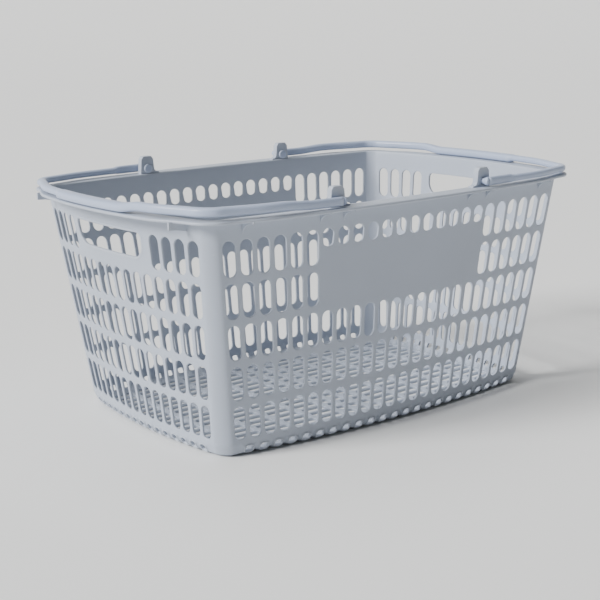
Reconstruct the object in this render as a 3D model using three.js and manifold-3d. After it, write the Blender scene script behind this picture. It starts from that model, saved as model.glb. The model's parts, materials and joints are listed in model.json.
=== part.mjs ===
// A supermarket hand basket of about 34 litres: one tapered, bowed and slotted plastic tub with a wide
// rim, and two folding bail handles that lie outwards on the rim and swing up to meet over the middle.
// Millimetres, +Z up, long side along X. The origin is the middle of the floor's underside.
import * as THREE from "three";
import { mergeVertices } from "three/addons/utils/BufferGeometryUtils.js";
import Module from "manifold-3d";

// ---- driving dimensions -----------------------------------------------------------------------
const RIM_TOP = 244;
const RIM_THICK = 3;
const RIM_OVERHANG = 19.5;
const CORNER_CUT = { depth: 7, spread: 45 }; // the rim is rounder than the tub at its corners
const WALL_THICK = 2.4;
const FLOOR_THICK = 2.5;
const GAP = 0.3; // clearance kept between neighbouring solids

// Half sizes of the outer face at the ends of each wall, at the floor, and how they grow per mm of height.
const HALF_WIDTH = { foot: 133.66, rise: 0.12228 };
const HALF_LENGTH = { foot: 210.2, rise: 0.1154 };
const LONG_BOW = { foot: 15.68, rise: -0.01776 }; // how far a wall's middle stands out beyond its ends
const SHORT_BOW = { foot: 9.94, rise: 0.03351 };
const LONG_PITCH = { foot: 16.278, rise: 0.01033 };
const SHORT_PITCH = { foot: 14.712, rise: 0.01627 };
const LONG_COLUMNS = 24;
const SHORT_COLUMNS = 16;
const POST_START = { long: 12, short: 8 }; // in pitches from the wall's middle
const CORNER_PULL = 0.36; // how far the corner curve's handles reach, as a part of its span
const CORNER_LEAN = 0.02;
const SEAM = 0.02; // pitches left between a wall and the post beside it

// Slot rows, counted from the rim down.
const ROWS = 5;
const FIRST_ROW_TOP = 222.7;
const ROW_PITCH = 42.15;
const SLOT_HEIGHT = 35.6;
const SHORT_SLOT_HEIGHT = 18.3; // the first row above the blank panel
const SLOT_HALF_PITCHES = 0.37; // half a slot's width, in pitches
const PANEL_HALF_COLUMNS = 6; // the blank panel stands below the middle 12 columns of the first row

const HAND_HOLE = { halfPitches: 3.45, low: 196.5, high: 222 };
const SHOULDER_ABOVE_SLOTS = 2; // the end walls are parted this far above their second row

const EAR = { x: 98, inner: 172.9, thick: 7, height: 20.3, halfBase: 9.5, halfTop: 7.5, shoulder: 1 };
const EAR_FIN = { reach: 14, height: 9 };
const PIVOT_Z = 250;
const PIN_RADIUS = 3.2;
const BORE_RADIUS = 3.55;
const EYE_RADIUS = 5.4;
const HEAD_THICK = 2;
const OVERLAP = 0.5; // how far joined solids reach into each other

const BAR = { width: 8.6, height: 8.4, offset: 13.4, z: 251.4, chamfer: 2.4 };
const GRIP = { width: 13, top: 253.8, halfPitches: 3.5 };

const GUSSET = { thick: 2, reach: 18, lip: 7, foot: 10, slopeEnd: 9.5, offWall: 0.6 };
const RIB_FROM_EAR = 14;
const GUSSET_PITCHES = { long: 10.6, short: 7.1 }; // from the middle of the wall
const RIM_MIDDLE_PITCHES = 4.1; // half the stretch of long rim between the ears that has no rib under it

const FLOOR_SLOT = { columns: 12, rows: 5, pitchX: 33.5, pitchY: 44, halfX: 12, halfY: 15 };

// ---- plan of the tub --------------------------------------------------------------------------
const at = (line, z) => line.foot + line.rise * z;

// A point of the outer face on a long wall, u pitches from its middle: [along, outwards].
function longPoint(u, z) {
  const bow = at(LONG_BOW, z) * (1 - (u / (LONG_COLUMNS / 2)) ** 2);
  return [u * at(LONG_PITCH, z), at(HALF_WIDTH, z) + bow];
}

function shortPoint(v, z) {
  const bow = at(SHORT_BOW, z) * (1 - (v / (SHORT_COLUMNS / 2)) ** 2);
  return [v * at(SHORT_PITCH, z), at(HALF_LENGTH, z) + bow];
}

// A point of the rounded corner in the +X +Y quarter: t is 0 at the long wall and 1 at the short wall.
function cornerPoint(t, z) {
  const [x0, y0] = longPoint(POST_START.long, z);
  const [y3, x3] = shortPoint(POST_START.short, z);
  const start = new THREE.Vector2(x0, y0);
  const end = new THREE.Vector2(x3, y3);
  const leave = new THREE.Vector2(x0 + CORNER_PULL * (x3 - x0), y0 - CORNER_LEAN * (y0 - y3));
  const arrive = new THREE.Vector2(x3 - CORNER_LEAN * (x3 - x0), y3 + CORNER_PULL * (y0 - y3));
  return new THREE.CubicBezierCurve(start, leave, arrive, end).getPoint(t);
}

// The outer face's plan, offset outwards, in the +X +Y quarter. s runs 0..1 on the long wall from its
// middle, 1..2 round the corner and 2..3 on the short wall to its middle.
function quarterPoint(s, z, outwards) {
  if (s <= 1) {
    const [x, y] = longPoint(s * POST_START.long, z);
    return new THREE.Vector2(x, y + outwards);
  }
  if (s >= 2) {
    const [y, x] = shortPoint((3 - s) * POST_START.short, z);
    return new THREE.Vector2(x + outwards, y);
  }
  const turn = ((2 - s) * Math.PI) / 2;
  const p = cornerPoint(s - 1, z);
  return new THREE.Vector2(p.x + outwards * Math.cos(turn), p.y + outwards * Math.sin(turn));
}

// How far the rim and the handles are drawn in near a corner, from the distance to the corner's start.
function cornerCut(distance) {
  const near = Math.max(0, 1 - distance / CORNER_CUT.spread);
  return CORNER_CUT.depth * near * near * (3 - 2 * near);
}

const steps = (from, to, count) =>
  Array.from({ length: count + 1 }, (_, i) => from + ((to - from) * i) / count);

// ---- helpers ----------------------------------------------------------------------------------
const wasm = await Module();
wasm.setup();

function toSolid(geometry) {
  const plain = geometry.index ? geometry.toNonIndexed() : geometry.clone();
  plain.deleteAttribute("normal");
  plain.deleteAttribute("uv");
  const merged = mergeVertices(plain, 1e-4);
  const mesh = new wasm.Mesh({
    numProp: 3,
    vertProperties: merged.attributes.position.array,
    triVerts: new Uint32Array(merged.index.array),
  });
  return new wasm.Manifold(mesh);
}

function fromSolid(solid) {
  const mesh = solid.getMesh();
  const geometry = new THREE.BufferGeometry();
  geometry.setAttribute("position", new THREE.BufferAttribute(mesh.vertProperties, 3));
  geometry.setIndex(new THREE.BufferAttribute(mesh.triVerts, 1));
  geometry.computeVertexNormals();
  return geometry;
}

function join(geometries) {
  return fromSolid(geometries.map(toSolid).reduce((all, next) => all.add(next)));
}

const extrude = (shape, depth) =>
  new THREE.ExtrudeGeometry(shape, { depth, bevelEnabled: false, steps: 1 });

// A curved sheet with rectangular openings. Its grid lines are us and zs, isOpen(i, j) says which cells
// are left out, and place(u, z, depth) gives the point at a depth into the sheet, from 0 outside to 1 inside.
function latticeSheet(us, zs, isOpen, place) {
  const vertices = [];
  const quad = (a, b, c, d) => vertices.push(...a, ...b, ...c, ...a, ...c, ...d);
  const solid = (i, j) =>
    i >= 0 && j >= 0 && i < us.length - 1 && j < zs.length - 1 && !isOpen(i, j);
  for (let i = 0; i < us.length - 1; i++) {
    for (let j = 0; j < zs.length - 1; j++) {
      if (!solid(i, j)) continue;
      const outer = [[i, j], [i + 1, j], [i + 1, j + 1], [i, j + 1]].map(([m, n]) => place(us[m], zs[n], 0));
      const inner = [[i, j], [i + 1, j], [i + 1, j + 1], [i, j + 1]].map(([m, n]) => place(us[m], zs[n], 1));
      quad(...outer);
      quad(...[...inner].reverse());
      const neighbours = [[i, j - 1], [i + 1, j], [i, j + 1], [i - 1, j]];
      neighbours.forEach(([m, n], k) => {
        const next = (k + 1) % 4;
        if (!solid(m, n)) quad(outer[next], outer[k], inner[k], inner[next]);
      });
    }
  }
  const geometry = new THREE.BufferGeometry();
  geometry.setAttribute("position", new THREE.Float32BufferAttribute(vertices, 3));
  geometry.computeVertexNormals();
  return geometry;
}

const rowTop = (row) => FIRST_ROW_TOP - row * ROW_PITCH;

// ---- materials --------------------------------------------------------------------------------
const tubPlastic = new THREE.MeshStandardMaterial({ color: 0xb9bfc9, roughness: 0.5, metalness: 0 });
const handlePlastic = new THREE.MeshStandardMaterial({ color: 0xbcc0d0, roughness: 0.42, metalness: 0 });

const basket = new THREE.Group();

function add(name, geometry, material, turned = 0) {
  const mesh = new THREE.Mesh(geometry, material);
  mesh.name = name;
  mesh.rotation.z = turned;
  basket.add(mesh);
}

// ---- walls ------------------------------------------------------------------------------------
const WALL_LOW = FLOOR_THICK + GAP;
const RIM_UNDERSIDE = RIM_TOP - RIM_THICK;

const ascending = (numbers) => [...new Set(numbers)].sort((a, b) => a - b);

// The slot columns that lie between two places on a wall, as the column's middle in pitches.
function columnsBetween(left, right, count) {
  const middles = Array.from({ length: count }, (_, i) => i + 0.5 - count / 2);
  return middles.filter((c) => c - 0.5 > left - 0.3 && c + 0.5 < right + 0.3);
}

const slotEdges = (columns) => columns.flatMap((c) => [c - SLOT_HALF_PITCHES, c + SLOT_HALF_PITCHES]);
const rowEdges = (rows) => rows.flatMap((row) => [rowTop(row) - SLOT_HEIGHT, rowTop(row)]);

const columnAt = (columns, u) => columns.find((c) => Math.abs(u - c) < SLOT_HALF_PITCHES);
const rowAt = (rows, z) => rows.find((row) => z < rowTop(row) && z > rowTop(row) - SLOT_HEIGHT);

// The wall facing -Y: all rows are slotted, except for the blank panel in its middle.
function longWall() {
  const end = POST_START.long - SEAM;
  const columns = columnsBetween(-end, end, LONG_COLUMNS);
  const rows = [0, 1, 2, 3, 4];
  const panelTop = rowTop(0) - SHORT_SLOT_HEIGHT;
  const us = ascending([-end, ...slotEdges(columns), end]);
  const zs = ascending([WALL_LOW, ...rowEdges(rows), panelTop, RIM_TOP]);
  const isOpen = (i, j) => {
    const z = (zs[j] + zs[j + 1]) / 2;
    const column = columnAt(columns, (us[i] + us[i + 1]) / 2);
    const row = rowAt(rows, z);
    if (column === undefined || row === undefined) return false;
    const onPanel = Math.abs(column) < PANEL_HALF_COLUMNS && z < panelTop && row < 2;
    return !onPanel;
  };
  return latticeSheet(us, zs, isOpen, (u, z, depth) => {
    const [x, y] = longPoint(u, z);
    return [x, WALL_THICK * depth - y, z];
  });
}

add("front_wall", longWall(), tubPlastic);
add("back_wall", longWall(), tubPlastic, Math.PI);

// A piece of the wall facing -X, between two places along it and two heights.
function endPanel(left, right, low, high, rows) {
  const columns = rows.length ? columnsBetween(left, right, SHORT_COLUMNS) : steps(left, right, 6);
  const lines = rows.length ? slotEdges(columns) : columns;
  const us = ascending([left, ...lines, right]);
  const zs = ascending([low, ...rowEdges(rows), high]);
  const isOpen = (i, j) =>
    rows.length > 0 &&
    columnAt(columns, (us[i] + us[i + 1]) / 2) !== undefined &&
    rowAt(rows, (zs[j] + zs[j + 1]) / 2) !== undefined;
  return latticeSheet(us, zs, isOpen, (v, z, depth) => {
    const [y, x] = shortPoint(v, z);
    return [WALL_THICK * depth - x, -y, z];
  });
}

const END = POST_START.short - SEAM;
const SHOULDER_LOW = rowTop(1) + SHOULDER_ABOVE_SLOTS;
const PITCH_GAP = GAP / at(SHORT_PITCH, RIM_TOP);

for (const [side, turned] of [["left", 0], ["right", Math.PI]]) {
  const hole = HAND_HOLE.halfPitches;
  const low = SHOULDER_LOW + GAP;
  const barHalf = hole - PITCH_GAP;
  add(`${side}_end_wall`, endPanel(-END, END, WALL_LOW, SHOULDER_LOW, [1, 2, 3, 4]), tubPlastic, turned);
  add(`${side}_end_shoulder_1`, endPanel(-END, -hole, low, RIM_TOP, [0]), tubPlastic, turned);
  add(`${side}_end_shoulder_2`, endPanel(hole, END, low, RIM_TOP, [0]), tubPlastic, turned);
  add(`${side}_hand_hole_bar`, endPanel(-barHalf, barHalf, HAND_HOLE.high, RIM_TOP, []), tubPlastic, turned);
  add(`${side}_hand_hole_sill`, endPanel(-barHalf, barHalf, low, HAND_HOLE.low, []), tubPlastic, turned);
}

// ---- corner posts -----------------------------------------------------------------------------
// A copy mirrored across the planes asked for, with its triangles turned back to face outwards.
function mirrored(geometry, flipX, flipY) {
  const flipped = (geometry.index ? geometry.toNonIndexed() : geometry.clone()).scale(flipX, flipY, 1);
  if (flipX * flipY > 0) return flipped;
  const position = flipped.attributes.position;
  for (let i = 0; i < position.count; i += 3) {
    const b = new THREE.Vector3().fromBufferAttribute(position, i + 1);
    const c = new THREE.Vector3().fromBufferAttribute(position, i + 2);
    position.setXYZ(i + 1, c.x, c.y, c.z);
    position.setXYZ(i + 2, b.x, b.y, b.z);
  }
  flipped.computeVertexNormals();
  return flipped;
}

const POST_INSET = 0.015;

// The post in the +X +Y quarter, which has no slots.
function cornerPost() {
  const us = steps(1 + POST_INSET, 2 - POST_INSET, 6);
  const place = (s, z, depth) => {
    const p = quarterPoint(3 - s, z, -WALL_THICK * depth);
    return [p.x, p.y, z];
  };
  return latticeSheet(us, [WALL_LOW, RIM_TOP], () => false, place);
}

const CORNERS = [
  ["front_left", -1, -1],
  ["front_right", 1, -1],
  ["back_left", -1, 1],
  ["back_right", 1, 1],
];
for (const [corner, flipX, flipY] of CORNERS) {
  add(`${corner}_corner_post`, mirrored(cornerPost(), flipX, flipY), tubPlastic);
}

// ---- floor ------------------------------------------------------------------------------------
// A grid of openings whose outermost lines are pulled out to the foot of the walls.
function floorPlate() {
  const { columns, rows, pitchX, pitchY, halfX, halfY } = FLOOR_SLOT;
  const lines = (count, pitch, half) =>
    Array.from({ length: count }, (_, i) => (i - (count - 1) / 2) * pitch).flatMap((c) => [c - half, c + half]);
  const xs = lines(columns, pitchX, halfX);
  const ys = lines(rows, pitchY, halfY);
  const us = [-Infinity, ...xs, Infinity];
  const vs = [-Infinity, ...ys, Infinity];
  const isOpen = (i, j) => i % 2 === 1 && j % 2 === 1 && i < us.length - 2 && j < vs.length - 2;
  const place = (u, v, depth) => {
    const z = FLOOR_THICK * (1 - depth);
    const atEnd = !Number.isFinite(u);
    const atSide = !Number.isFinite(v);
    if (atEnd && atSide) {
      const corner = quarterPoint(1.5, 0, 0);
      return [Math.sign(u) * corner.x, Math.sign(v) * corner.y, z];
    }
    if (atEnd) return [Math.sign(u) * shortPoint(v / at(SHORT_PITCH, 0), 0)[1], v, z];
    if (atSide) return [u, Math.sign(v) * longPoint(u / at(LONG_PITCH, 0), 0)[1], z];
    return [u, v, z];
  };
  return latticeSheet(us, vs, isOpen, place);
}

add("basket_floor", floorPlate(), tubPlastic);

// ---- rim --------------------------------------------------------------------------------------
const RIM_INSET = 0.01;

// A flat piece of the rim: place(t, outwards) gives its points in plan and cut(t) how far they are drawn in.
function rimPiece(from, to, count, place, cut) {
  const along = steps(from, to, count);
  const outline = [
    ...along.map((t) => place(t, GAP)),
    ...along.reverse().map((t) => place(t, RIM_OVERHANG - cut(t))),
  ];
  return extrude(new THREE.Shape(outline), RIM_THICK).translate(0, 0, RIM_UNDERSIDE);
}

function frontRimPoint(u, outwards) {
  const [x, y] = longPoint(u, RIM_TOP);
  return new THREE.Vector2(-x, -(y + outwards));
}

function leftRimPoint(v, outwards) {
  const [y, x] = shortPoint(v, RIM_TOP);
  return new THREE.Vector2(-(x + outwards), y);
}

const cutOnLong = (u) => cornerCut((POST_START.long - Math.abs(u)) * at(LONG_PITCH, RIM_TOP));
const cutOnShort = (v) => cornerCut((POST_START.short - Math.abs(v)) * at(SHORT_PITCH, RIM_TOP));

const rimEnd = POST_START.long - RIM_INSET;
const rimJoint = RIM_MIDDLE_PITCHES + RIM_INSET;
const endRimHalf = POST_START.short - RIM_INSET;
const middleRim = rimPiece(-RIM_MIDDLE_PITCHES, RIM_MIDDLE_PITCHES, 6, frontRimPoint, cutOnLong);
const rightOfMiddle = rimPiece(-rimEnd, -rimJoint, 8, frontRimPoint, cutOnLong);
const leftOfMiddle = rimPiece(rimJoint, rimEnd, 8, frontRimPoint, cutOnLong);
const endRim = rimPiece(-endRimHalf, endRimHalf, 14, leftRimPoint, cutOnShort);
for (const [side, turned] of [["front", 0], ["back", Math.PI]]) {
  add(`${side}_rim_middle`, middleRim, tubPlastic, turned);
  add(`${side}_rim_1`, rightOfMiddle, tubPlastic, turned);
  add(`${side}_rim_2`, leftOfMiddle, tubPlastic, turned);
}
add("left_rim", endRim, tubPlastic);
add("right_rim", endRim, tubPlastic, Math.PI);

const roundCorner = (s, outwards) => quarterPoint(s, RIM_TOP, outwards);
for (const [corner, flipX, flipY] of CORNERS) {
  const section = rimPiece(1 + RIM_INSET, 2 - RIM_INSET, 8, roundCorner, () => CORNER_CUT.depth);
  add(`${corner}_rim`, mirrored(section, flipX, flipY), tubPlastic);
}

// ---- gussets under the rim ----------------------------------------------------------------------
// Drawn with X outwards from the wall's face and Y up, then stood at the wall.
function gussetPlate(lean) {
  const top = RIM_UNDERSIDE - GAP;
  const inner = (z) => GUSSET.offWall + GAP - lean * (RIM_TOP - z);
  const outline = [
    [inner(top), top],
    [inner(top - GUSSET.foot), top - GUSSET.foot],
    [GUSSET.slopeEnd, top - GUSSET.lip],
    [GUSSET.reach, top - GUSSET.lip],
    [GUSSET.reach, top],
  ];
  const shape = new THREE.Shape(outline.map(([a, b]) => new THREE.Vector2(a, b)));
  return extrude(shape, GUSSET.thick).translate(0, 0, -GUSSET.thick / 2);
}

// Stands a plate on a long wall at x along it, on the front (side -1) or the back (side 1).
function longGusset(x, side) {
  const u = x / at(LONG_PITCH, RIM_TOP);
  const face = longPoint(u, RIM_TOP)[1];
  const plate = gussetPlate(HALF_WIDTH.rise).rotateX(Math.PI / 2).rotateZ((side * Math.PI) / 2);
  return plate.translate(x, side * face, 0);
}

function shortGusset(y, side) {
  const v = y / at(SHORT_PITCH, RIM_TOP);
  const face = shortPoint(v, RIM_TOP)[1];
  const plate = gussetPlate(HALF_LENGTH.rise + SHORT_BOW.rise).rotateX(Math.PI / 2);
  if (side < 0) plate.rotateZ(Math.PI);
  return plate.translate(side * face, y, 0);
}

for (const [corner, flipX, flipY] of CORNERS) {
  const x = flipX * GUSSET_PITCHES.long * at(LONG_PITCH, RIM_TOP);
  const y = flipY * GUSSET_PITCHES.short * at(SHORT_PITCH, RIM_TOP);
  add(`${corner}_long_gusset`, longGusset(x, flipY), tubPlastic);
  add(`${corner}_short_gusset`, shortGusset(y, flipX), tubPlastic);
  add(`${corner}_ear_rib_1`, longGusset(flipX * (EAR.x - RIB_FROM_EAR), flipY), tubPlastic);
  add(`${corner}_ear_rib_2`, longGusset(flipX * (EAR.x + RIB_FROM_EAR), flipY), tubPlastic);
}

// ---- pivot ears -------------------------------------------------------------------------------
function pivotEar() {
  const base = RIM_TOP + GAP;
  const outline = [
    [-EAR.halfBase, base],
    [EAR_FIN.reach, base],
    [EAR.halfBase, base + EAR_FIN.height],
    [EAR.halfTop + EAR.shoulder, base + EAR_FIN.height],
    [EAR.halfTop, base + EAR.height],
    [-EAR.halfTop, base + EAR.height],
  ];
  const shape = new THREE.Shape(outline.map(([a, b]) => new THREE.Vector2(a, b)));
  shape.holes.push(new THREE.Path().absarc(0, PIVOT_Z, BORE_RADIUS, 0, 2 * Math.PI, true));
  const ear = new THREE.ExtrudeGeometry(shape, { depth: EAR.thick, bevelEnabled: false, curveSegments: 24 });
  return ear.rotateX(Math.PI / 2); // stands it up: its depth runs towards -Y
}

for (const [corner, flipX, flipY] of CORNERS) {
  const ear = pivotEar().translate(-EAR.x, -EAR.inner, 0);
  add(`${corner}_pivot_ear`, mirrored(ear, -flipX, -flipY), tubPlastic);
}

// ---- handles ----------------------------------------------------------------------------------
function sectionShape(width, low, high) {
  const cut = BAR.chamfer;
  const half = width / 2;
  const outline = [
    [-half + cut, low],
    [half - cut, low],
    [half, low + cut],
    [half, high - cut],
    [half - cut, high],
    [-half + cut, high],
    [-half, high - cut],
    [-half, low + cut],
  ];
  return new THREE.Shape(outline.map(([a, b]) => new THREE.Vector2(b, a)));
}

// A bar of constant section along points of the plan, at the height z.
function sweep(points, shape, count) {
  const path = new THREE.CatmullRomCurve3(points, false, "centripetal");
  return new THREE.ExtrudeGeometry(shape, { steps: count, bevelEnabled: false, extrudePath: path });
}

const cylinderAlongY = (radius, from, to, x, z) =>
  new THREE.CylinderGeometry(radius, radius, to - from, 24).translate(x, (from + to) / 2, z);

function handle() {
  const along = (s, side) => {
    const fromLong = (1 - s) * POST_START.long * at(LONG_PITCH, RIM_TOP);
    const fromShort = (s - 2) * POST_START.short * at(SHORT_PITCH, RIM_TOP);
    const p = quarterPoint(s, RIM_TOP, BAR.offset - cornerCut(Math.max(0, fromLong, fromShort)));
    return new THREE.Vector3(-p.x, side * p.y, BAR.z);
  };
  const start = EAR.x / (POST_START.long * at(LONG_PITCH, RIM_TOP));
  const stations = [...steps(start, 1, 6), ...steps(1, 2, 4).slice(1), ...steps(2, 3, 5).slice(1)];
  const front = stations.map((s) => along(s, -1));
  const back = stations.slice(0, -1).reverse().map((s) => along(s, 1));
  const bar = sweep([...front, ...back], sectionShape(BAR.width, -BAR.height / 2, BAR.height / 2), 40);

  const gripPoints = steps(-1, 1, 6).map((w) => {
    const [y, x] = shortPoint(w * GRIP.halfPitches, RIM_TOP);
    return new THREE.Vector3(-(x + BAR.offset), y, BAR.z);
  });
  const gripLow = RIM_TOP + GAP - BAR.z;
  const grip = sweep(gripPoints, sectionShape(GRIP.width, gripLow, GRIP.top - BAR.z), 10);

  const legFace = front[0].y + BAR.width / 2;
  const ends = [];
  for (const side of [-1, 1]) {
    const span = (inner, outer) => (side < 0 ? [-outer, -inner] : [inner, outer]);
    const eye = span(-legFace - GAP, -front[0].y + BAR.width / 2 - GAP);
    ends.push(cylinderAlongY(EYE_RADIUS, ...eye, -EAR.x, PIVOT_Z));
    const headInner = EAR.inner - GAP - HEAD_THICK;
    ends.push(cylinderAlongY(PIN_RADIUS, ...span(headInner + OVERLAP, -legFace + OVERLAP), -EAR.x, PIVOT_Z));
    ends.push(cylinderAlongY(EYE_RADIUS, ...span(headInner, headInner + HEAD_THICK), -EAR.x, PIVOT_Z));
  }
  return join([bar, grip, ...ends]);
}

const handleGeometry = handle();
add("left_handle", handleGeometry, handlePlastic);
add("right_handle", handleGeometry, handlePlastic, Math.PI);

export default basket;
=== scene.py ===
import json
import math

import bmesh
import bpy
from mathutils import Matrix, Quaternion, Vector
from mathutils.geometry import tessellate_polygon


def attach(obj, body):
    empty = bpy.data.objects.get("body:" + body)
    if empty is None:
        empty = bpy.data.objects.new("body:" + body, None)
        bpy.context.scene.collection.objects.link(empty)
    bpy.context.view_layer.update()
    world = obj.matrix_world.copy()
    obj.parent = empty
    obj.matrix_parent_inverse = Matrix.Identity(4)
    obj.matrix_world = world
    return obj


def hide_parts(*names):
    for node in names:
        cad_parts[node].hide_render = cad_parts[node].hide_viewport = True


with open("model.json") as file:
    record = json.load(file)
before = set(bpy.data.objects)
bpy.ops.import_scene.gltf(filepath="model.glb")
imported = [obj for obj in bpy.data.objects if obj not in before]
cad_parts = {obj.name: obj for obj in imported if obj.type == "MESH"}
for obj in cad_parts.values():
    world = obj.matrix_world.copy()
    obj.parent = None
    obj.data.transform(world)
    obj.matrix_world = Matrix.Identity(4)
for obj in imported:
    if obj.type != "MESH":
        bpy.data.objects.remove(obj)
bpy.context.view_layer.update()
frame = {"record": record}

# A supermarket hand basket: a tapered, bowed and slotted tub, and two bail handles folded on its rim.
# Lengths are in millimetres until a mesh is made, and MM turns them into metres. The studio is in metres.
MM = 0.001

# ---- driving dimensions ------------------------------------------------------------------------
RIM_TOP = 244.0
RIM_DEPTH = 5.0         # from the rim's top down to the end of the wall's plain band
CORNER_CUT = 7.0        # the rim and the handles are drawn in near the corners
CORNER_SPREAD = 45.0
CORNER_PULL = 0.36      # the control points of the tub's corner curve, as parts of its span
CORNER_LEAN = 0.02
WALL_THICK = 2.4
EDGE_ROUND = 0.7        # fillet round every slot
ARC_MIDDLE = 0.29       # a quarter round's middle lies this part of its radius in from both faces
BEAD_HEIGHT = 0.8       # of the raised ring round the hand holes and the bend holes
SHARP_ANGLE = math.radians(35)

# Each is the value at the floor and its growth per mm of height. The bows and pitches belong to a side.
HALF_WIDTH = (133.66, 0.12228)
HALF_LENGTH = (210.2, 0.1154)
LONG_BOW = (15.68, -0.01776)
SHORT_BOW = (9.94, 0.03351)
LONG_PITCH = (16.278, 0.01033)
SHORT_PITCH = (14.712, 0.01627)
LONG_HALF_COLUMNS = 12
SHORT_HALF_COLUMNS = 8
SLOT_HALF_PITCHES = 0.37

ROWS = 5
FIRST_ROW_TOP = 222.7
ROW_PITCH = 42.15
SLOT_HEIGHT = 35.6
ROW_MARGIN = (ROW_PITCH - SLOT_HEIGHT) / 2
OVAL_HEIGHT = 18.3
PANEL_HALF_COLUMNS = 6
HAND_HOLE = {"half": 3.45, "low": 196.5, "high": 222.0, "middle": 209.0, "top_round": 5.0, "low_round": 15.0,
             "cell": 4, "bead": 2.6}

BEND_RADIUS = 11.0      # between the walls and the floor
BEND_CELL_LOW = -9.5    # these heights run along the skin from the start of the bend
FOOT_CELL_LOW = -21.5
BEND_HOLE = {"half": 0.28, "low": -8.0, "high": -0.6, "round": 3.7, "bead": 1.1}
SCALLOP_HEIGHT = 3.6    # of the notches in the foot's edge
SCALLOP_HALF = 0.26     # half their width, in pitches
SCALLOP_START = -6.0
SCALLOP_CLEAR = 0.7     # the pitches next to a corner that hold none

PIVOT_X = 98.0
PIVOT_Z = 250.0
PIN_RADIUS = 3.2
EAR_INNER = 172.9
EAR_THICK = 7.0
BAR_OFFSET = 13.4

SEGMENTS_PER_PITCH = 6
CORNER_SEGMENTS = 12


# ---- plan of the tub -----------------------------------------------------------------------------
def at(line, z):
    """The value of a dimension at a height."""
    return line[0] + line[1] * z


def long_point(u, z):
    """A point of the +Y wall's outer face, u pitches from its middle."""
    bow = at(LONG_BOW, z) * (1 - (u / LONG_HALF_COLUMNS) ** 2)
    return u * at(LONG_PITCH, z), at(HALF_WIDTH, z) + bow


def short_point(v, z):
    """A point of the +X wall's outer face, v pitches from its middle, as the place along it and the distance
    out."""
    bow = at(SHORT_BOW, z) * (1 - (v / SHORT_HALF_COLUMNS) ** 2)
    return v * at(SHORT_PITCH, z), at(HALF_LENGTH, z) + bow


def corner_point(t, z):
    """A curve round the +X +Y corner, from the long wall's end to the short wall's."""
    x0, y0 = long_point(LONG_HALF_COLUMNS, z)
    y3, x3 = short_point(SHORT_HALF_COLUMNS, z)
    p = [Vector((x0, y0)),
         Vector((x0 + CORNER_PULL * (x3 - x0), y0 - CORNER_LEAN * (y0 - y3))),
         Vector((x3 - CORNER_LEAN * (x3 - x0), y3 + CORNER_PULL * (y0 - y3))),
         Vector((x3, y3))]
    return p[0] * (1 - t) ** 3 + 3 * p[1] * t * (1 - t) ** 2 + 3 * p[2] * t * t * (1 - t) + p[3] * t ** 3


def quarter_point(s, z, outwards):
    """The outer face's plan, offset outwards, in the +X +Y quarter: s is 0..1 on the long wall from its
    middle, 1..2 round the corner and 2..3 on the short wall to its middle."""
    if s <= 1:
        x, y = long_point(s * LONG_HALF_COLUMNS, z)
        return Vector((x, y + outwards))
    if s >= 2:
        y, x = short_point((3 - s) * SHORT_HALF_COLUMNS, z)
        return Vector((x + outwards, y))
    turn = (2 - s) * math.pi / 2
    p = corner_point(s - 1, z)
    return Vector((p.x + outwards * math.cos(turn), p.y + outwards * math.sin(turn)))


def plan_point(side, along, z, outwards):
    """A point of the outer face seen from outside, left to right along the side. Walls run in pitches from
    their middle; a corner, named by the two walls that it joins, runs from 0 to 1."""
    if side == "front":
        x, y = long_point(along, z)
        return Vector((x, -y - outwards))
    if side == "right":
        y, x = short_point(along, z)
        return Vector((x + outwards, y))
    if side == "back":
        x, y = long_point(along, z)
        return Vector((-x, y + outwards))
    if side == "left":
        y, x = short_point(along, z)
        return Vector((-x - outwards, -y))
    first_is_long = side in ("front_right", "back_left")
    p = quarter_point(1 + along if first_is_long else 2 - along, z, outwards)
    sign_x = 1 if "right" in side else -1
    sign_y = 1 if "back" in side else -1
    return Vector((sign_x * p.x, sign_y * p.y))


LOOP = ["front", "front_right", "right", "right_back", "back", "back_left", "left", "left_front"]


def scallop(side, along, w):
    """The foot's lower edge rises in a notch between neighbouring bend holes."""
    if side in ("front", "back"):
        half_columns = LONG_HALF_COLUMNS
    elif side in ("left", "right"):
        half_columns = SHORT_HALF_COLUMNS
    else:
        return 0.0
    if abs(along) > half_columns - SCALLOP_CLEAR:
        return 0.0
    from_middle = abs((along % 1.0) - 0.5)
    sharp = max(0.0, 1 - from_middle / SCALLOP_HALF)
    rise, fall = (SCALLOP_START - w) / 5.0, (w - FOOT_CELL_LOW) / 4.0
    return SCALLOP_HEIGHT * sharp * min(1.0, max(0.0, rise), max(0.0, fall))


def skin_point(side, along, w, depth):
    """A point of the tub's skin: w is the height above the start of the bend, negative round the bend and
    then on along the floor, and depth is how far in from the outer surface."""
    if w >= 0:
        p = plan_point(side, along, BEND_RADIUS + w, -depth)
        return (p.x, p.y, BEND_RADIUS + w)
    angle = min(-w / BEND_RADIUS, math.pi / 2)
    run = max(0.0, -w - BEND_RADIUS * math.pi / 2)
    z = BEND_RADIUS * (1 - math.sin(angle)) + depth * math.sin(angle)
    inset = BEND_RADIUS * (1 - math.cos(angle)) + depth * math.cos(angle) + run
    p = plan_point(side, along, BEND_RADIUS * (1 - math.sin(angle)), -inset)
    return (p.x, p.y, z + scallop(side, along, w))


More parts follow.
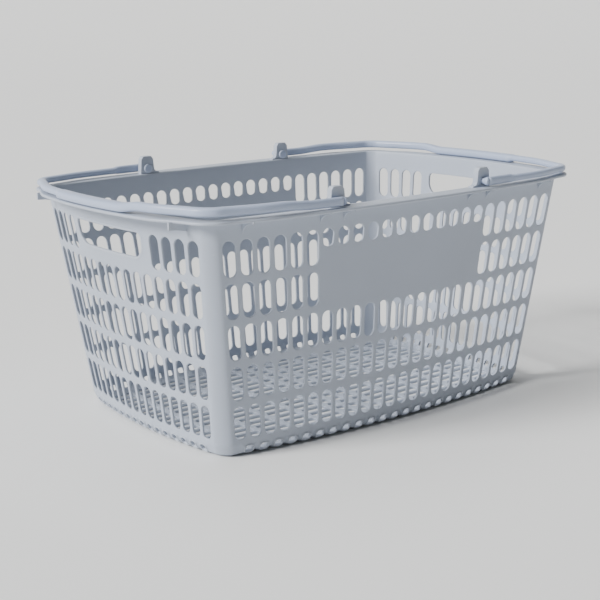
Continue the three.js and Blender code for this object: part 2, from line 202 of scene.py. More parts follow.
# ---- mesh helpers ----------------------------------------------------------------------------------
class Builder:
    """Collects faces given by their corner points, and joins corners that coincide."""

    def __init__(self):
        self.points, self.index, self.faces = [], {}, []

    def vertex(self, p):
        key = (round(p[0], 3), round(p[1], 3), round(p[2], 3))
        if key not in self.index:
            self.index[key] = len(self.points)
            self.points.append((p[0] * MM, p[1] * MM, p[2] * MM))
        return self.index[key]

    def face(self, *corners):
        ids = []
        for p in corners:
            i = self.vertex(p)
            if i not in ids:
                ids.append(i)
        if len(ids) > 2:
            self.faces.append(ids)

    def band(self, first, second):
        """Quads between two rings of the same number of points."""
        count = len(first)
        for i in range(count):
            j = (i + 1) % count
            self.face(first[i], first[j], second[j], second[i])

    def make(self, name, material, body):
        mesh = bpy.data.meshes.new(name)
        mesh.from_pydata(self.points, [], self.faces)
        mesh.validate()
        obj = bpy.data.objects.new(name, mesh)
        bpy.context.collection.objects.link(obj)
        for polygon in mesh.polygons:
            polygon.use_smooth = True
        mesh.materials.append(material)
        weighted = obj.modifiers.new("weighted", "WEIGHTED_NORMAL")
        weighted.keep_sharp = True
        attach(obj, body)
        return obj


def rounded(x, y, half_x, half_y, radius, low_radius=None):
    """Pulls a point of a rectangle's edge in to the same rectangle with round corners."""
    r = low_radius if low_radius is not None and y < 0 else radius
    centre_x, centre_y = half_x - r, half_y - r
    if abs(x) <= centre_x or abs(y) <= centre_y:
        return x, y
    dx, dy = abs(x) - centre_x, abs(y) - centre_y
    length = math.hypot(dx, dy)
    return math.copysign(centre_x + r * dx / length, x), math.copysign(centre_y + r * dy / length, y)


def edge_samples(columns, heights):
    """Points round a unit cell, as fractions, counter-clockwise from the low left corner."""
    low = [(a, 0.0) for a in columns[:-1]]
    right = [(1.0, b) for b in heights[:-1]]
    high = [(a, 1.0) for a in reversed(columns[1:])]
    left = [(0.0, b) for b in reversed(heights[1:])]
    return low + right + high + left


def holed_cell(build, place, cell, hole, columns, heights, depth, scale_x, round_top, round_low=None,
               bead=0.0):
    """One cell of a sheet with a filleted hole through it. cell and hole are (left, right, low, high) in the
    sheet's own coordinates, and scale_x turns its first coordinate into mm. A bead of the given width can
    stand round the hole on the outer face."""
    samples = edge_samples(columns, heights)
    left, right, low, high = cell
    outline = [(left + a * (right - left), low + b * (high - low)) for a, b in samples]
    mid_x, mid_y = (hole[0] + hole[1]) / 2, (hole[2] + hole[3]) / 2
    half_x, half_y = (hole[1] - hole[0]) / 2 * scale_x, (hole[3] - hole[2]) / 2

    def ring(grow, d):
        hx, hy = half_x + grow, half_y + grow
        high_round = min(round_top + grow, hx, hy)
        low_round = None if round_low is None else round_low + grow
        points = []
        for a, b in samples:
            x, y = rounded((2 * a - 1) * hx, (2 * b - 1) * hy, hx, hy, high_round, low_round)
            points.append(place(mid_x + x / scale_x, mid_y + y, d))
        return points

    f, m = EDGE_ROUND, ARC_MIDDLE * EDGE_ROUND
    profile = [(f, 0), (m, m), (0, f), (0, depth - f), (m, depth - m), (f, depth)]
    if bead:
        # a low ring with chamfered sides takes the place of the outer fillet's start
        crown = [(f + bead, 0), (f + 0.8 * bead, -BEAD_HEIGHT), (f + 0.2 * bead, -BEAD_HEIGHT)]
        profile = crown + [(0.3 * f, -0.6 * BEAD_HEIGHT)] + profile[2:]
    rings = [[place(a, b, 0) for a, b in outline]]
    rings += [ring(grow, d) for grow, d in profile]
    rings.append([place(a, b, depth) for a, b in outline])
    for first, second in zip(rings, rings[1:]):
        build.band(first, second)


def plain_cell(build, place, cell, columns, heights, depth):
    """One cell of a sheet with no hole in it."""
    left, right, low, high = cell
    xs = [left + a * (right - left) for a in columns]
    ys = [low + b * (high - low) for b in heights]
    for x0, x1 in zip(xs, xs[1:]):
        for y0, y1 in zip(ys, ys[1:]):
            build.face(place(x0, y0, 0), place(x1, y0, 0), place(x1, y1, 0), place(x0, y1, 0))
            build.face(place(x0, y1, depth), place(x1, y1, depth), place(x1, y0, depth), place(x0, y0, depth))


def even(count):
    """The fractions that split a length into count equal parts."""
    return [i / count for i in range(count + 1)]


def fix_normals(obj):
    """Turns every face outwards."""
    work = bmesh.new()
    work.from_mesh(obj.data)
    bmesh.ops.recalc_face_normals(work, faces=work.faces)
    work.to_mesh(obj.data)
    work.free()


def round_edges(obj, radius, segments=2):
    """Rounds the sharp edges, before the shading normals are weighted."""
    bevel = obj.modifiers.new("round", "BEVEL")
    bevel.width = radius * MM
    bevel.segments = segments
    bevel.limit_method = "ANGLE"
    bevel.angle_limit = SHARP_ANGLE
    obj.modifiers.move(len(obj.modifiers) - 1, 0)


# ---- materials ---------------------------------------------------------------------------------------
def moulded_plastic(name, colour, light, roughness, grain):
    """Satin polypropylene: a fine moulded grain, slow changes of tone, paler scuffs, and painted highlights
    on edges.
    """
    material = bpy.data.materials.new(name)
    material.use_nodes = True
    nodes, links = material.node_tree.nodes, material.node_tree.links
    shader = nodes["Principled BSDF"]
    place = nodes.new("ShaderNodeTexCoord")

    def noise(scale, detail, rough=0.5):
        node = nodes.new("ShaderNodeTexNoise")
        node.inputs["Scale"].default_value = scale
        node.inputs["Detail"].default_value = detail
        node.inputs["Roughness"].default_value = rough
        links.new(place.outputs["Object"], node.inputs["Vector"])
        return node.outputs["Fac"]

    def ramp(value, low, high, first, second):
        node = nodes.new("ShaderNodeMapRange")
        node.inputs["From Min"].default_value = low
        node.inputs["From Max"].default_value = high
        node.inputs["To Min"].default_value = first
        node.inputs["To Max"].default_value = second
        links.new(value, node.inputs["Value"])
        return node.outputs["Result"]

    def mix(factor, first, second):
        node = nodes.new("ShaderNodeMix")
        node.data_type = "RGBA"
        links.new(factor, node.inputs[0])
        for socket, value in ((node.inputs[6], first), (node.inputs[7], second)):
            if isinstance(value, tuple):
                socket.default_value = (*value, 1)
            else:
                links.new(value, socket)
        return node.outputs[2]

    darker, lighter = (tuple(share * c for c in colour) for share in (0.97, 1.03))
    tone = mix(ramp(noise(9, 3), 0.3, 0.7, 0, 1), darker, lighter)
    scuffs = ramp(noise(140, 6, 0.7), 0.62, 0.8, 0, 0.35)
    # painted highlight: convex edges, found by their pointiness, are painted in the paler colour, as if they
    # caught the light
    geometry = nodes.new("ShaderNodeNewGeometry")
    edges = ramp(geometry.outputs["Pointiness"], 0.52, 0.6, 0, 0.5)
    # the paler colour takes whichever is stronger: the random scuffs, which are wear, or the painted edge
    # highlight
    scuffs_and_edge_highlight = nodes.new("ShaderNodeMath")
    scuffs_and_edge_highlight.operation = "MAXIMUM"
    links.new(scuffs, scuffs_and_edge_highlight.inputs[0])
    links.new(edges, scuffs_and_edge_highlight.inputs[1])
    links.new(mix(scuffs_and_edge_highlight.outputs[0], tone, light), shader.inputs["Base Color"])
    links.new(ramp(noise(60, 4), 0.3, 0.7, roughness - 0.05, roughness + 0.07), shader.inputs["Roughness"])
    bump = nodes.new("ShaderNodeBump")
    bump.inputs["Strength"].default_value = grain
    bump.inputs["Distance"].default_value = 0.0002
    links.new(noise(900, 4, 0.6), bump.inputs["Height"])
    links.new(bump.outputs["Normal"], shader.inputs["Normal"])
    shader.inputs["IOR"].default_value = 1.49
    shader.inputs["Subsurface Weight"].default_value = 0.08
    shader.inputs["Subsurface Radius"].default_value = (0.004, 0.004, 0.004)
    return material


# The second colour of each is the paler one of the scuffs and of the painted edge highlight.
tub_plastic = moulded_plastic("tub_plastic", (0.42, 0.465, 0.55), (0.62, 0.65, 0.70), 0.42, 0.25)
handle_plastic = moulded_plastic("handle_plastic", (0.42, 0.49, 0.65), (0.66, 0.69, 0.75), 0.34, 0.15)


# ---- the tub's walls, posts, bend and foot -----------------------------------------------------------
def row_top(row):
    return FIRST_ROW_TOP - row * ROW_PITCH


def row_cell(row):
    """The skin heights between which a row of slots lies."""
    return row_top(row) - SLOT_HEIGHT - ROW_MARGIN - BEND_RADIUS, row_top(row) + ROW_MARGIN - BEND_RADIUS


OVAL_CELL_LOW = FIRST_ROW_TOP - OVAL_HEIGHT - ROW_MARGIN - BEND_RADIUS
OVAL_LINE = (OVAL_CELL_LOW - row_cell(0)[0]) / (row_cell(0)[1] - row_cell(0)[0])
TOP_LINE = RIM_TOP - RIM_DEPTH - BEND_RADIUS

# The mesh lines across each kind of row, as fractions of its height. The first row's are those of the tall
# slots and those of the ovals.
FIRST_ROW_HEIGHTS = [0, 0.09, 0.18, OVAL_LINE, OVAL_LINE + 0.08, 0.82, 0.91, 1]
SLOT_HEIGHTS = [0, 0.09, 0.18, 0.82, 0.91, 1]
BAND_HEIGHTS = even(2)
FOOT_HEIGHTS = even(8)


def split_heights(heights, at_height):
    """Splits fractions at one of them, and stretches both parts to 0..1."""
    k = heights.index(at_height)
    low = [h / at_height for h in heights[:k + 1]]
    high = [(h - at_height) / (1 - at_height) for h in heights[k:]]
    return low, high


def skin_of(side):
    """One side's skin as a function of the place along it, the height and the depth."""
    def place(along, w, depth):
        return skin_point(side, along, w, depth)
    return place


def wall(build, side, half_columns, pitch):
    """One side from the rim to the foot. The long sides hold a panel, and the short ones a hand hole."""
    place = skin_of(side)
    unit = even(SEGMENTS_PER_PITCH)
    is_long = half_columns == LONG_HALF_COLUMNS

    def slot(centre, w_low, w_high, low, high, heights):
        half = SLOT_HALF_PITCHES
        scale = at(pitch, (low + high) / 2 + BEND_RADIUS)
        holed_cell(build, place, (centre - 0.5, centre + 0.5, w_low, w_high),
                   (centre - half, centre + half, low, high), unit, heights, WALL_THICK, scale, half * scale)

    for row in range(ROWS):
        w_low, w_high = row_cell(row)
        heights = FIRST_ROW_HEIGHTS if row == 0 else SLOT_HEIGHTS
        for i in range(2 * half_columns):
            centre = i + 0.5 - half_columns
            cell = (centre - 0.5, centre + 0.5, w_low, w_high)
            on_panel = is_long and abs(centre) < PANEL_HALF_COLUMNS
            if not is_long and row == 0 and abs(centre) < HAND_HOLE["cell"]:
                continue
            if on_panel and row == 1:
                plain_cell(build, place, cell, unit, heights, WALL_THICK)
            elif on_panel and row == 0:
                low_heights, high_heights = split_heights(FIRST_ROW_HEIGHTS, OVAL_LINE)
                plain_cell(build, place, (*cell[:2], w_low, OVAL_CELL_LOW), unit, low_heights, WALL_THICK)
                slot(centre, OVAL_CELL_LOW, w_high, FIRST_ROW_TOP - OVAL_HEIGHT - BEND_RADIUS,
                     FIRST_ROW_TOP - BEND_RADIUS, high_heights)
            else:
                slot(centre, w_low, w_high, w_low + ROW_MARGIN, w_high - ROW_MARGIN, heights)

    if not is_long:
        w_low, w_high = row_cell(0)
        half, reach = HAND_HOLE["half"], HAND_HOLE["cell"]
        holed_cell(build, place, (-reach, reach, w_low, w_high),
                   (-half, half, HAND_HOLE["low"] - BEND_RADIUS, HAND_HOLE["high"] - BEND_RADIUS),
                   even(2 * reach * SEGMENTS_PER_PITCH), FIRST_ROW_HEIGHTS, WALL_THICK,
                   at(pitch, HAND_HOLE["middle"]), HAND_HOLE["top_round"], HAND_HOLE["low_round"],
                   bead=HAND_HOLE["bead"])

    # the plain band under the rim
    for i in range(2 * half_columns):
        left = i - half_columns
        plain_cell(build, place, (left, left + 1, row_cell(0)[1], TOP_LINE), unit, BAND_HEIGHTS, WALL_THICK)

    # the bend has small holes half a pitch off the slots, and the foot has notches between them
    last_low = row_cell(ROWS - 1)[0]
    half_unit = even(SEGMENTS_PER_PITCH // 2)
    for end in (-half_columns, half_columns - 0.5):
        cell = (end, end + 0.5, BEND_CELL_LOW, last_low)
        plain_cell(build, place, cell, half_unit, SLOT_HEIGHTS, WALL_THICK)
    for centre in range(1 - half_columns, half_columns):
        cell = (centre - 0.5, centre + 0.5, BEND_CELL_LOW, last_low)
        hole = (centre - BEND_HOLE["half"], centre + BEND_HOLE["half"], BEND_HOLE["low"], BEND_HOLE["high"])
        holed_cell(build, place, cell, hole, unit, SLOT_HEIGHTS, WALL_THICK, at(pitch, BEND_RADIUS),
                   BEND_HOLE["round"], bead=BEND_HOLE["bead"])
    for i in range(2 * half_columns):
        cell = (i - half_columns, i - half_columns + 1, FOOT_CELL_LOW, BEND_CELL_LOW)
        plain_cell(build, place, cell, unit, FOOT_HEIGHTS, WALL_THICK)


def corner(build, side):
    """A plain corner, with the mesh lines of the walls beside it."""
    place = skin_of(side)
    columns = even(CORNER_SEGMENTS)
    for row in range(ROWS):
        heights = FIRST_ROW_HEIGHTS if row == 0 else SLOT_HEIGHTS
        plain_cell(build, place, (0, 1, *row_cell(row)), columns, heights, WALL_THICK)
    plain_cell(build, place, (0, 1, row_cell(0)[1], TOP_LINE), columns, BAND_HEIGHTS, WALL_THICK)
    plain_cell(build, place, (0, 1, BEND_CELL_LOW, row_cell(ROWS - 1)[0]), columns, SLOT_HEIGHTS, WALL_THICK)
    plain_cell(build, place, (0, 1, FOOT_CELL_LOW, BEND_CELL_LOW), columns, FOOT_HEIGHTS, WALL_THICK)


def loop_stations():
    """Every sampled place round the tub, in order, as (side, along)."""
    stations = []
    for side in LOOP:
        if side in ("front", "back"):
            count = 2 * LONG_HALF_COLUMNS * SEGMENTS_PER_PITCH
            stations += [(side, i / SEGMENTS_PER_PITCH - LONG_HALF_COLUMNS) for i in range(count)]
        elif side in ("left", "right"):
            count = 2 * SHORT_HALF_COLUMNS * SEGMENTS_PER_PITCH
            stations += [(side, i / SEGMENTS_PER_PITCH - SHORT_HALF_COLUMNS) for i in range(count)]
        else:
            stations += [(side, i / CORNER_SEGMENTS) for i in range(CORNER_SEGMENTS)]
    return stations


# The rim's section from the wall's outer face out, round the lip and back to the wall's inner face, as the
# distance outwards and the height over the rim's top. The lip hangs a little lower than the shelf.
RIM_PROFILE = [(0, -RIM_DEPTH), (0.2, -3.9), (0.8, -3.0), (1.8, -2.6), (9.0, -2.5), (15.0, -2.5),
               (16.2, -2.6), (16.9, -2.9), (17.4, -3.2), (18.1, -3.3), (18.9, -3.0), (19.3, -2.4),
               (19.5, -1.7), (19.3, -0.9), (18.7, -0.3), (17.6, 0.0), (9.0, 0.0), (0.0, 0.0),
               (-1.4, -0.1), (-2.1, -0.7), (-2.4, -1.7), (-2.4, -RIM_DEPTH)]
RIM_CUT_REACH = 14.0    # at a corner the drawing in grows from none at the wall to all of it this far out


def corner_cut(distance):
    """How far in the rim is drawn at a distance along it from a corner."""
    near = max(0.0, 1 - distance / CORNER_SPREAD)
    return CORNER_CUT * near * near * (3 - 2 * near)


def distance_to_corner(side, along):
    """How far along the rim a place is from the nearest corner, and 0 on the corners."""
    if side in ("front", "back"):
        return (LONG_HALF_COLUMNS - abs(along)) * at(LONG_PITCH, RIM_TOP)
    if side in ("left", "right"):
        return (SHORT_HALF_COLUMNS - abs(along)) * at(SHORT_PITCH, RIM_TOP)
    return 0.0


def rim_and_foot(build):
    """Closes the skin with the rim at its top and a narrow strip at the foot's inner edge."""
    stations = loop_stations()

    def section(side, along):
        cut = corner_cut(distance_to_corner(side, along))
        points = []
        for out, drop in RIM_PROFILE:
            z = RIM_TOP + drop
            reference = z if drop == -RIM_DEPTH else RIM_TOP
            drawn_in = cut * min(1.0, max(0.0, out / RIM_CUT_REACH))
            p = plan_point(side, along, reference, out - drawn_in)
            points.append((p.x, p.y, z))
        return points

    sections = [section(*station) for station in stations]
    for k, first in enumerate(sections):
        second = sections[(k + 1) % len(sections)]
        for i in range(len(first) - 1):
            build.face(first[i], second[i], second[i + 1], first[i + 1])
    for k, station in enumerate(stations):
        after = stations[(k + 1) % len(stations)]
        outer = [skin_point(*s, FOOT_CELL_LOW, 0) for s in (station, after)]
        inner = [skin_point(*s, FOOT_CELL_LOW, WALL_THICK) for s in (station, after)]
        build.face(outer[1], outer[0], inner[0], inner[1])


def make_tub():
    build = Builder()
    for side in LOOP:
        if side in ("front", "back"):
            wall(build, side, LONG_HALF_COLUMNS, LONG_PITCH)
        elif side in ("left", "right"):
            wall(build, side, SHORT_HALF_COLUMNS, SHORT_PITCH)
        else:
            corner(build, side)
    rim_and_foot(build)
    return build.make("basket_tub", tub_plastic, "basket")


# ---- floor grid ----------------------------------------------------------------------------------------
FLOOR_TOP = 3.0
FLOOR_ROWS = 18
FLOOR_COLUMNS = 5 * [2] + 3 * [1] + 5 * [2]      # widths, in narrow columns
BAR_ALONG = 2.1         # half the width of the bars along X, and of those across
BAR_ACROSS = 2.9
FLOOR_SLOT_ROUND = 3.6
FLOOR_SLOT_HEIGHTS = [0, 0.15, 0.3, 0.7, 0.85, 1]
WIDE_SLOT_COLUMNS = [0, 0.06, 0.12, 0.5, 0.88, 0.94, 1]
FOOT_RING_OVERLAP = 1.0


def make_floor():
    """A grid of slots whose lines follow the bowed foot."""
    build = Builder()
    total = sum(FLOOR_COLUMNS)
    inset = -FOOT_CELL_LOW - BEND_RADIUS * (math.pi / 2 - 1) - FOOT_RING_OVERLAP
    half_x = short_point(SHORT_HALF_COLUMNS, 0)[1] - inset
    half_y = long_point(LONG_HALF_COLUMNS / 2, 0)[1] - inset

    def place(x, y, depth):
        along, across = x / half_x, y / half_y
        reach_x = short_point(SHORT_HALF_COLUMNS * across, 0)[1] - inset
        reach_y = long_point(LONG_HALF_COLUMNS * along, 0)[1] - inset
        return (along * reach_x, across * reach_y, depth)

    row_height = 2 * half_y / FLOOR_ROWS
    unit = 2 * half_x / total
    xs, left = [-half_x], -half_x
    for width in FLOOR_COLUMNS:
        columns = WIDE_SLOT_COLUMNS if width > 1 else even(6)
        right = left + width * unit
        for row in range(FLOOR_ROWS):
            low = row * row_height - half_y
            cell = (left, right, low, low + row_height)
            hole = (left + BAR_ACROSS, right - BAR_ACROSS, low + BAR_ALONG, low + row_height - BAR_ALONG)
            holed_cell(build, place, cell, hole, columns, FLOOR_SLOT_HEIGHTS, FLOOR_TOP, 1.0,
                       FLOOR_SLOT_ROUND)
        xs += [left + a * (right - left) for a in columns[1:]]
        left = right
    ys = [-half_y]
    for row in range(FLOOR_ROWS):
        ys += [-half_y + (row + b) * row_height for b in FLOOR_SLOT_HEIGHTS[1:]]
    edge = [(x, -half_y) for x in xs[:-1]] + [(xs[-1], y) for y in ys[:-1]]
    edge += [(x, ys[-1]) for x in reversed(xs[1:])] + [(-half_x, y) for y in reversed(ys[1:])]
    build.band([place(x, y, FLOOR_TOP) for x, y in edge], [place(x, y, 0) for x, y in edge])
    obj = build.make("basket_floor_grid", tub_plastic, "basket")
    fix_normals(obj)
    return obj


# ---- gussets and brackets --------------------------------------------------------------------------------
GUSSET_THICK = 2.0
GUSSET_ROUND = 0.35
SHELF = RIM_TOP - 2.5   # the underside of the rim's flat part
WALL_SINK = 1.0         # how far the plates reach into the wall and into the rim
SHELF_SINK = 0.6
BRACKET = {"pitches": 10.6, "from_pivot": 14.0, "reach": 17.0, "lip": 2.0, "foot": 13.0}
GUSSET = {"pitches": 7.1, "reach": 18.0, "slope_end": 9.0, "lip": 7.0, "foot": 9.8}


def plate(build, outline, foot, out):
    """A plate that stands on edge and runs from foot in the direction out, along X or Y. Its outline is in
    distances from foot and heights."""
    across = (abs(out[1]), abs(out[0]))
    if out[0] * across[1] < out[1] * across[0]:
        outline = outline[::-1]

    def face(offset):
        return [(foot[0] + out[0] * a + across[0] * offset, foot[1] + out[1] * a + across[1] * offset, b)
                for a, b in outline]

    near, far = face(-GUSSET_THICK / 2), face(GUSSET_THICK / 2)
    build.face(*near)
    build.face(*reversed(far))
    build.band(far, near)


def gusset_outline():
    """Level at its outer end and sloping down to the wall."""
    reach, lip, foot = GUSSET["reach"], GUSSET["lip"], GUSSET["foot"]
    top = SHELF + SHELF_SINK
    slope = [(-WALL_SINK - 0.12 * foot, SHELF - foot), (GUSSET["slope_end"], SHELF - lip - 0.4)]
    end = [(reach - 0.8, SHELF - lip), (reach, SHELF - lip + 0.8), (reach, top)]
    return [(-WALL_SINK, top)] + slope + end


def bracket_outline():
    """Its lower edge is a hollow curve."""
    reach, lip, foot = BRACKET["reach"], BRACKET["lip"], BRACKET["foot"]
    top = SHELF + SHELF_SINK
    curve = [(reach - (reach + 1.5) * math.sin(a), SHELF - lip - (foot - lip) * (1 - math.cos(a)))
             for a in (math.pi / 2 * k / 8 for k in range(9))]
    return [(-WALL_SINK, top)] + curve[::-1] + [(reach, top)]


def make_gussets():
    """Brackets under the rim of the long sides, two of them beside each ear, and gussets under the others."""
    build = Builder()
    pitch_l, pitch_s = at(LONG_PITCH, RIM_TOP), at(SHORT_PITCH, RIM_TOP)
    bracket_places = [BRACKET["pitches"] * pitch_l, PIVOT_X - BRACKET["from_pivot"],
                      PIVOT_X + BRACKET["from_pivot"]]
    gusset_x, gusset_y = short_point(GUSSET["pitches"], RIM_TOP)[1], GUSSET["pitches"] * pitch_s
    for sign_x in (-1, 1):
        for sign_y in (-1, 1):
            for x in bracket_places:
                wall_y = long_point(x / pitch_l, RIM_TOP)[1]
                plate(build, bracket_outline(), (sign_x * x, sign_y * wall_y), (0, sign_y))
            plate(build, gusset_outline(), (sign_x * gusset_x, sign_y * gusset_y), (sign_x, 0))
    obj = build.make("rim_gussets", tub_plastic, "basket")
    round_edges(obj, GUSSET_ROUND)
    return obj


# ---- pivot ears ------------------------------------------------------------------------------------------
EAR_SINK = 0.6          # how far the ear reaches down into the rim
EAR_HEIGHT = 20.2
EAR_HALF_FOOT = 9.5
EAR_HALF_TOP = 8.0
EAR_CLIP_HALF = 5.4     # half the width of the flat top, and the height of the clipped corners
EAR_CLIP_DROP = 3.4
EAR_ROUND = 0.6
FIN_REACH = 15.4
BORE_CLEARANCE = 0.35


def arc(cx, cz, radius, start, end, count):
    """Points of an arc, with its start and end in degrees."""
    turns = [math.radians(start + (end - start) * i / count) for i in range(count + 1)]
    return [(cx + radius * math.cos(turn), cz + radius * math.sin(turn)) for turn in turns]


def ear_outline():
    """A block with clipped top corners. A thin fin with a hollow upper edge leans on its right side."""
    base, top = RIM_TOP - EAR_SINK, RIM_TOP + EAR_HEIGHT
    block = [(EAR_HALF_TOP, top - EAR_CLIP_DROP), (EAR_CLIP_HALF, top), (-EAR_CLIP_HALF, top),
             (-EAR_HALF_TOP, top - EAR_CLIP_DROP)]
    hollow = arc(13.6, base + 6.6, 4.4, 270, 180, 6)
    fin = [(FIN_REACH, base), (FIN_REACH - 0.4, base + 2.2), *hollow, (8.6, base + 11.0)]
    return [(-EAR_HALF_FOOT, base), *fin, *block]


def make_ear(name, sign_x, sign_y):
    """An ear stands on the rim over the wall. Its fin points to the basket's middle."""
    build = Builder()
    outline = ear_outline()
    bore = arc(0, PIVOT_Z, PIN_RADIUS + BORE_CLEARANCE, 0, 360, 28)[:-1]
    loops = [[Vector((a, b, 0)) for a, b in outline], [Vector((a, b, 0)) for a, b in bore]]
    flat = outline + bore

    def stand(a, b, depth):
        return (sign_x * (PIVOT_X - a), sign_y * (EAR_INNER + depth), b)

    for t in tessellate_polygon(loops):
        build.face(*[stand(*flat[i], 0) for i in t])
        build.face(*[stand(*flat[i], EAR_THICK) for i in reversed(t)])
    for loop in (outline, bore):
        build.band([stand(a, b, 0) for a, b in loop], [stand(a, b, EAR_THICK) for a, b in loop])
    obj = build.make(name, tub_plastic, "basket")
    fix_normals(obj)
    round_edges(obj, EAR_ROUND, segments=3)
    return obj


# ---- handles ---------------------------------------------------------------------------------------------
def smooth_step(x):
    x = min(max(x, 0.0), 1.0)
    return x * x * (3 - 2 * x)


# The bar's width, and the heights of its lowest and its highest point.
END_ARM = (6.8, 245.6, 254.6)
FRONT_BAR = (10.0, 247.8, 256.8)
GRIP_BAR = (14.4, 244.35, 253.8)
BACK_BAR = (9.6, 246.2, 253.4)
GRIP_HALF = 64.0
# Where one section starts to turn into the next, and over what length. The distances are from the nearer
# pivot, and for the grip from its own end.
FRONT_ARM_ENDS = (32.0, 40.0)
FRONT_GRIP_STARTS = (-26.0, 30.0)
BACK_ARM_ENDS = (34.0, 5.0)
BACK_GRIP_LENGTH = 3.0
SECTION_POWER = 2.6     # 2 is an ellipse
RING_POINTS = 28
CAP_NARROWING = 0.12
PATH_SMOOTHING = 12
PIN_OVERLAP = 3.0       # how far the pin starts inside the leg
PIN_HEAD_GAP = 0.3


def bar_section(distance, total):
    """The bar's section at a distance along it from the front pivot. The front leg climbs away from the rim
    before the grip slopes down to it. The back leg stays low and meets the grip at a shoulder."""
    def blend(first, second, amount):
        t = smooth_step(amount)
        return tuple(a + (b - a) * t for a, b in zip(first, second))

    middle = total / 2
    if distance < middle:
        start, length = FRONT_ARM_ENDS
        section = blend(END_ARM, FRONT_BAR, (distance - start) / length)
        start, length = FRONT_GRIP_STARTS
        return blend(section, GRIP_BAR, (distance - (middle - GRIP_HALF + start)) / length)
    start, length = BACK_ARM_ENDS
    section = blend(END_ARM, BACK_BAR, (total - distance - start) / length)
    return blend(section, GRIP_BAR, (middle + GRIP_HALF - distance) / BACK_GRIP_LENGTH)


def handle_path():
    """Points of the bar's middle line in plan for the left handle, from the front pivot to the back one."""
    start = PIVOT_X / (LONG_HALF_COLUMNS * at(LONG_PITCH, RIM_TOP))
    stations = [start + (1 - start) * i / 40 for i in range(41)]
    stations += [1 + i / 24 for i in range(1, 25)] + [2 + i / 50 for i in range(1, 51)]
    quarter = []
    for s in stations:
        from_long = (1 - s) * LONG_HALF_COLUMNS * at(LONG_PITCH, RIM_TOP)
        from_short = (s - 2) * SHORT_HALF_COLUMNS * at(SHORT_PITCH, RIM_TOP)
        quarter.append(quarter_point(s, RIM_TOP, BAR_OFFSET - corner_cut(max(0.0, from_long, from_short))))
    front = [Vector((-p.x, -p.y)) for p in quarter]
    return front + [Vector((p.x, -p.y)) for p in reversed(front[:-1])]


def smooth_path(points, passes):
    """Rounds the path where its parts meet. Its ends stay."""
    for _ in range(passes):
        inner = [(a + 2 * b + c) / 4 for a, b, c in zip(points, points[1:], points[2:])]
        points = [points[0]] + inner + [points[-1]]
    return points


def section_ring(width, low, high):
    """The bar's section, between an oval and a rectangle, as distances across it and heights."""
    power = 2 / SECTION_POWER
    ring = []
    for i in range(RING_POINTS):
        angle = 2 * math.pi * i / RING_POINTS
        c, s = math.cos(angle), math.sin(angle)
        ring.append((math.copysign(abs(c) ** power, c) * width / 2,
                     (low + high) / 2 + math.copysign(abs(s) ** power, s) * (high - low) / 2))
    return ring


def hub_cap(centre, side, turned):
    """Rings that round the bar's end off about the pivot. side is -1 at the front and 1 at the back."""
    width, low, high = END_ARM
    middle, radius = (low + high) / 2, (high - low) / 2
    rings = []
    for j in range(1, 7):
        swing = math.radians(15 * j)
        shrink = math.cos(swing)
        section = section_ring(width * (1 - CAP_NARROWING * (1 - shrink)), low, high)
        ahead = radius * math.sin(swing)
        rings.append([turned(centre.x + ahead, centre.y + side * a, middle + (z - middle) * shrink)
                      for a, z in section])
    return rings


def make_handle(name, turn, body):
    """The left handle has turn 1, and the right one, the same moulding turned half round, has -1."""
    build = Builder()
    path = smooth_path(handle_path(), PATH_SMOOTHING)
    lengths = [0.0]
    for a, b in zip(path, path[1:]):
        lengths.append(lengths[-1] + (b - a).length)

    def turned(x, y, z):
        return (turn * x, turn * y, z)

    rings = []
    for k, p in enumerate(path):
        before, after = path[max(k - 1, 0)], path[min(k + 1, len(path) - 1)]
        direction = (after - before).normalized()
        normal = Vector((direction.y, -direction.x))
        ring = section_ring(*bar_section(lengths[k], lengths[-1]))
        rings.append([turned(p.x + normal.x * a, p.y + normal.y * a, z) for a, z in ring])
    rings = hub_cap(path[0], -1, turned)[::-1] + rings + hub_cap(path[-1], 1, turned)
    for first, second in zip(rings, rings[1:]):
        build.band(first, second)
    build.faces.append([build.vertex(p) for p in reversed(rings[0])])
    build.faces.append([build.vertex(p) for p in rings[-1]])
    pins(build, -path[0].y, turned)
    obj = build.make(name, handle_plastic, body)
    fix_normals(obj)
    return obj


def pins(build, leg_y, turned):
    """A snap pin runs from each leg through the ear's bore and ends in a round head."""
    start, head = leg_y - PIN_OVERLAP, EAR_INNER - PIN_HEAD_GAP
    profile = [(start, 0.0), (start, PIN_RADIUS), (head + 0.05, PIN_RADIUS), (head, 5.0), (head - 0.5, 5.4),
               (head - 1.3, 5.2), (head - 1.8, 4.4), (head - 2.0, 3.0), (head - 2.0, 0.0)]
    turns = [2 * math.pi * i / RING_POINTS for i in range(RING_POINTS)]
    for side in (-1, 1):
        rings = [[turned(-PIVOT_X + radius * math.cos(turn), side * y, PIVOT_Z + radius * math.sin(turn))
                  for turn in turns] for y, radius in profile]
        for first, second in zip(rings, rings[1:]):
            build.band(first, second)


# ---- stage ---------------------------------------------------------------------------------------------
CAMERA_TARGET = (-0.00861, 0.00141, 0.10745)
CAMERA_DISTANCE = 1.46004
CAMERA_AZIMUTH = math.radians(-37.231)
CAMERA_ELEVATION = math.radians(12.986)
CAMERA_ROLL = math.radians(-1.139)
CAMERA_LENS = 77.4
STUDIO_HALF = 60.0
CURVE_START = 8.0
CURVE_RADIUS = 25.0
CURVE_END = math.radians(60)
CURVE_STEPS = 24


def make_camera():
    camera = bpy.data.objects.new("camera", bpy.data.cameras.new("camera"))
    bpy.context.collection.objects.link(camera)
    target, level = Vector(CAMERA_TARGET), math.cos(CAMERA_ELEVATION)
    away = Vector((math.sin(CAMERA_AZIMUTH) * level, -math.cos(CAMERA_AZIMUTH) * level,
                   math.sin(CAMERA_ELEVATION)))
    camera.location = target + CAMERA_DISTANCE * away
    unrolled = (target - camera.location).to_track_quat("-Z", "Y")
    camera.rotation_euler = (unrolled @ Quaternion((0, 0, 1), CAMERA_ROLL)).to_euler()
    camera.data.lens = CAMERA_LENS
    camera.data.clip_end = 300
    bpy.context.scene.camera = camera


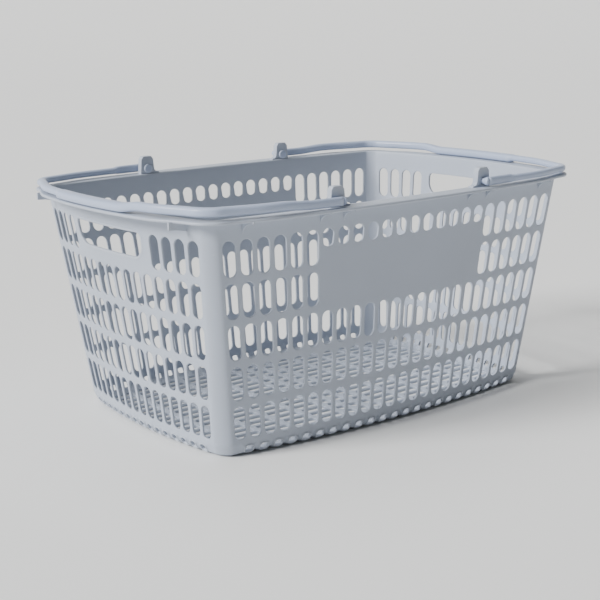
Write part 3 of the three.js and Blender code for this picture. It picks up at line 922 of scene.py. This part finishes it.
def make_studio_floor():
    """A pale floor that curves up behind the basket, so that no horizon shows."""
    ahead = Vector((-math.sin(CAMERA_AZIMUTH), math.cos(CAMERA_AZIMUTH), 0))
    across = Vector((ahead.y, -ahead.x, 0))
    profile = [(-STUDIO_HALF, 0.0)]
    for i in range(CURVE_STEPS + 1):
        turn = CURVE_END * i / CURVE_STEPS
        profile.append((CURVE_START + CURVE_RADIUS * math.sin(turn), CURVE_RADIUS * (1 - math.cos(turn))))
    points = [ahead * out + across * side + Vector((0, 0, up))
              for out, up in profile for side in (-STUDIO_HALF, STUDIO_HALF)]
    mesh = bpy.data.meshes.new("studio_floor")
    mesh.from_pydata(points, [], [(2 * i, 2 * i + 1, 2 * i + 3, 2 * i + 2) for i in range(len(profile) - 1)])
    for polygon in mesh.polygons:
        polygon.use_smooth = True
    plane = bpy.data.objects.new("studio_floor", mesh)
    bpy.context.collection.objects.link(plane)
    material = bpy.data.materials.new("studio_floor")
    material.use_nodes = True
    shader = material.node_tree.nodes["Principled BSDF"]
    shader.inputs["Base Color"].default_value = (0.89, 0.89, 0.88, 1)
    shader.inputs["Roughness"].default_value = 0.6
    mesh.materials.append(material)


def sun_light(name, towards_light, strength, spread, colour):
    data = bpy.data.lights.new(name, "SUN")
    data.energy = strength
    data.angle = math.radians(spread)
    data.color = colour
    light = bpy.data.objects.new(name, data)
    bpy.context.collection.objects.link(light)
    light.rotation_euler = Vector(towards_light).to_track_quat("Z", "Y").to_euler()


def make_lights():
    sun_light("key", (-1.0, 0.2, 0.62), 4.9, 22, (1.0, 1.0, 0.99))
    sun_light("top", (-0.1, 0.25, 1.0), 1.5, 60, (0.98, 0.99, 1.0))
    world = bpy.data.worlds.new("studio")
    world.use_nodes = True
    background = world.node_tree.nodes["Background"]
    background.inputs["Color"].default_value = (0.95, 0.95, 0.95, 1)
    background.inputs["Strength"].default_value = 0.12
    bpy.context.scene.world = world


# ---- build ---------------------------------------------------------------------------------------------
make_camera()
make_studio_floor()
make_lights()

tub = make_tub()
floor_grid = make_floor()
gussets = make_gussets()
ear_signs = {"front_left": (-1, -1), "front_right": (1, -1), "back_left": (-1, 1), "back_right": (1, 1)}
ears = {ear_name: make_ear(ear_name + "_ear", *signs) for ear_name, signs in ear_signs.items()}
left_handle = make_handle("left_bail", 1, "left_handle")
right_handle = make_handle("right_bail", -1, "right_handle")

tub_nodes = frame["record"]["behaviour"]["bodies"]["basket"]
gusset_nodes = [n for n in tub_nodes if n.endswith("gusset") or "_ear_rib_" in n]
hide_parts(*[n for n in tub_nodes if n not in gusset_nodes and n != "basket_floor"
                   and not n.endswith("pivot_ear")])
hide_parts("basket_floor")
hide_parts(*gusset_nodes)
for ear_name, ear in ears.items():
    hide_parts(ear_name + "_pivot_ear")
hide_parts("left_handle")
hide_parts("right_handle")
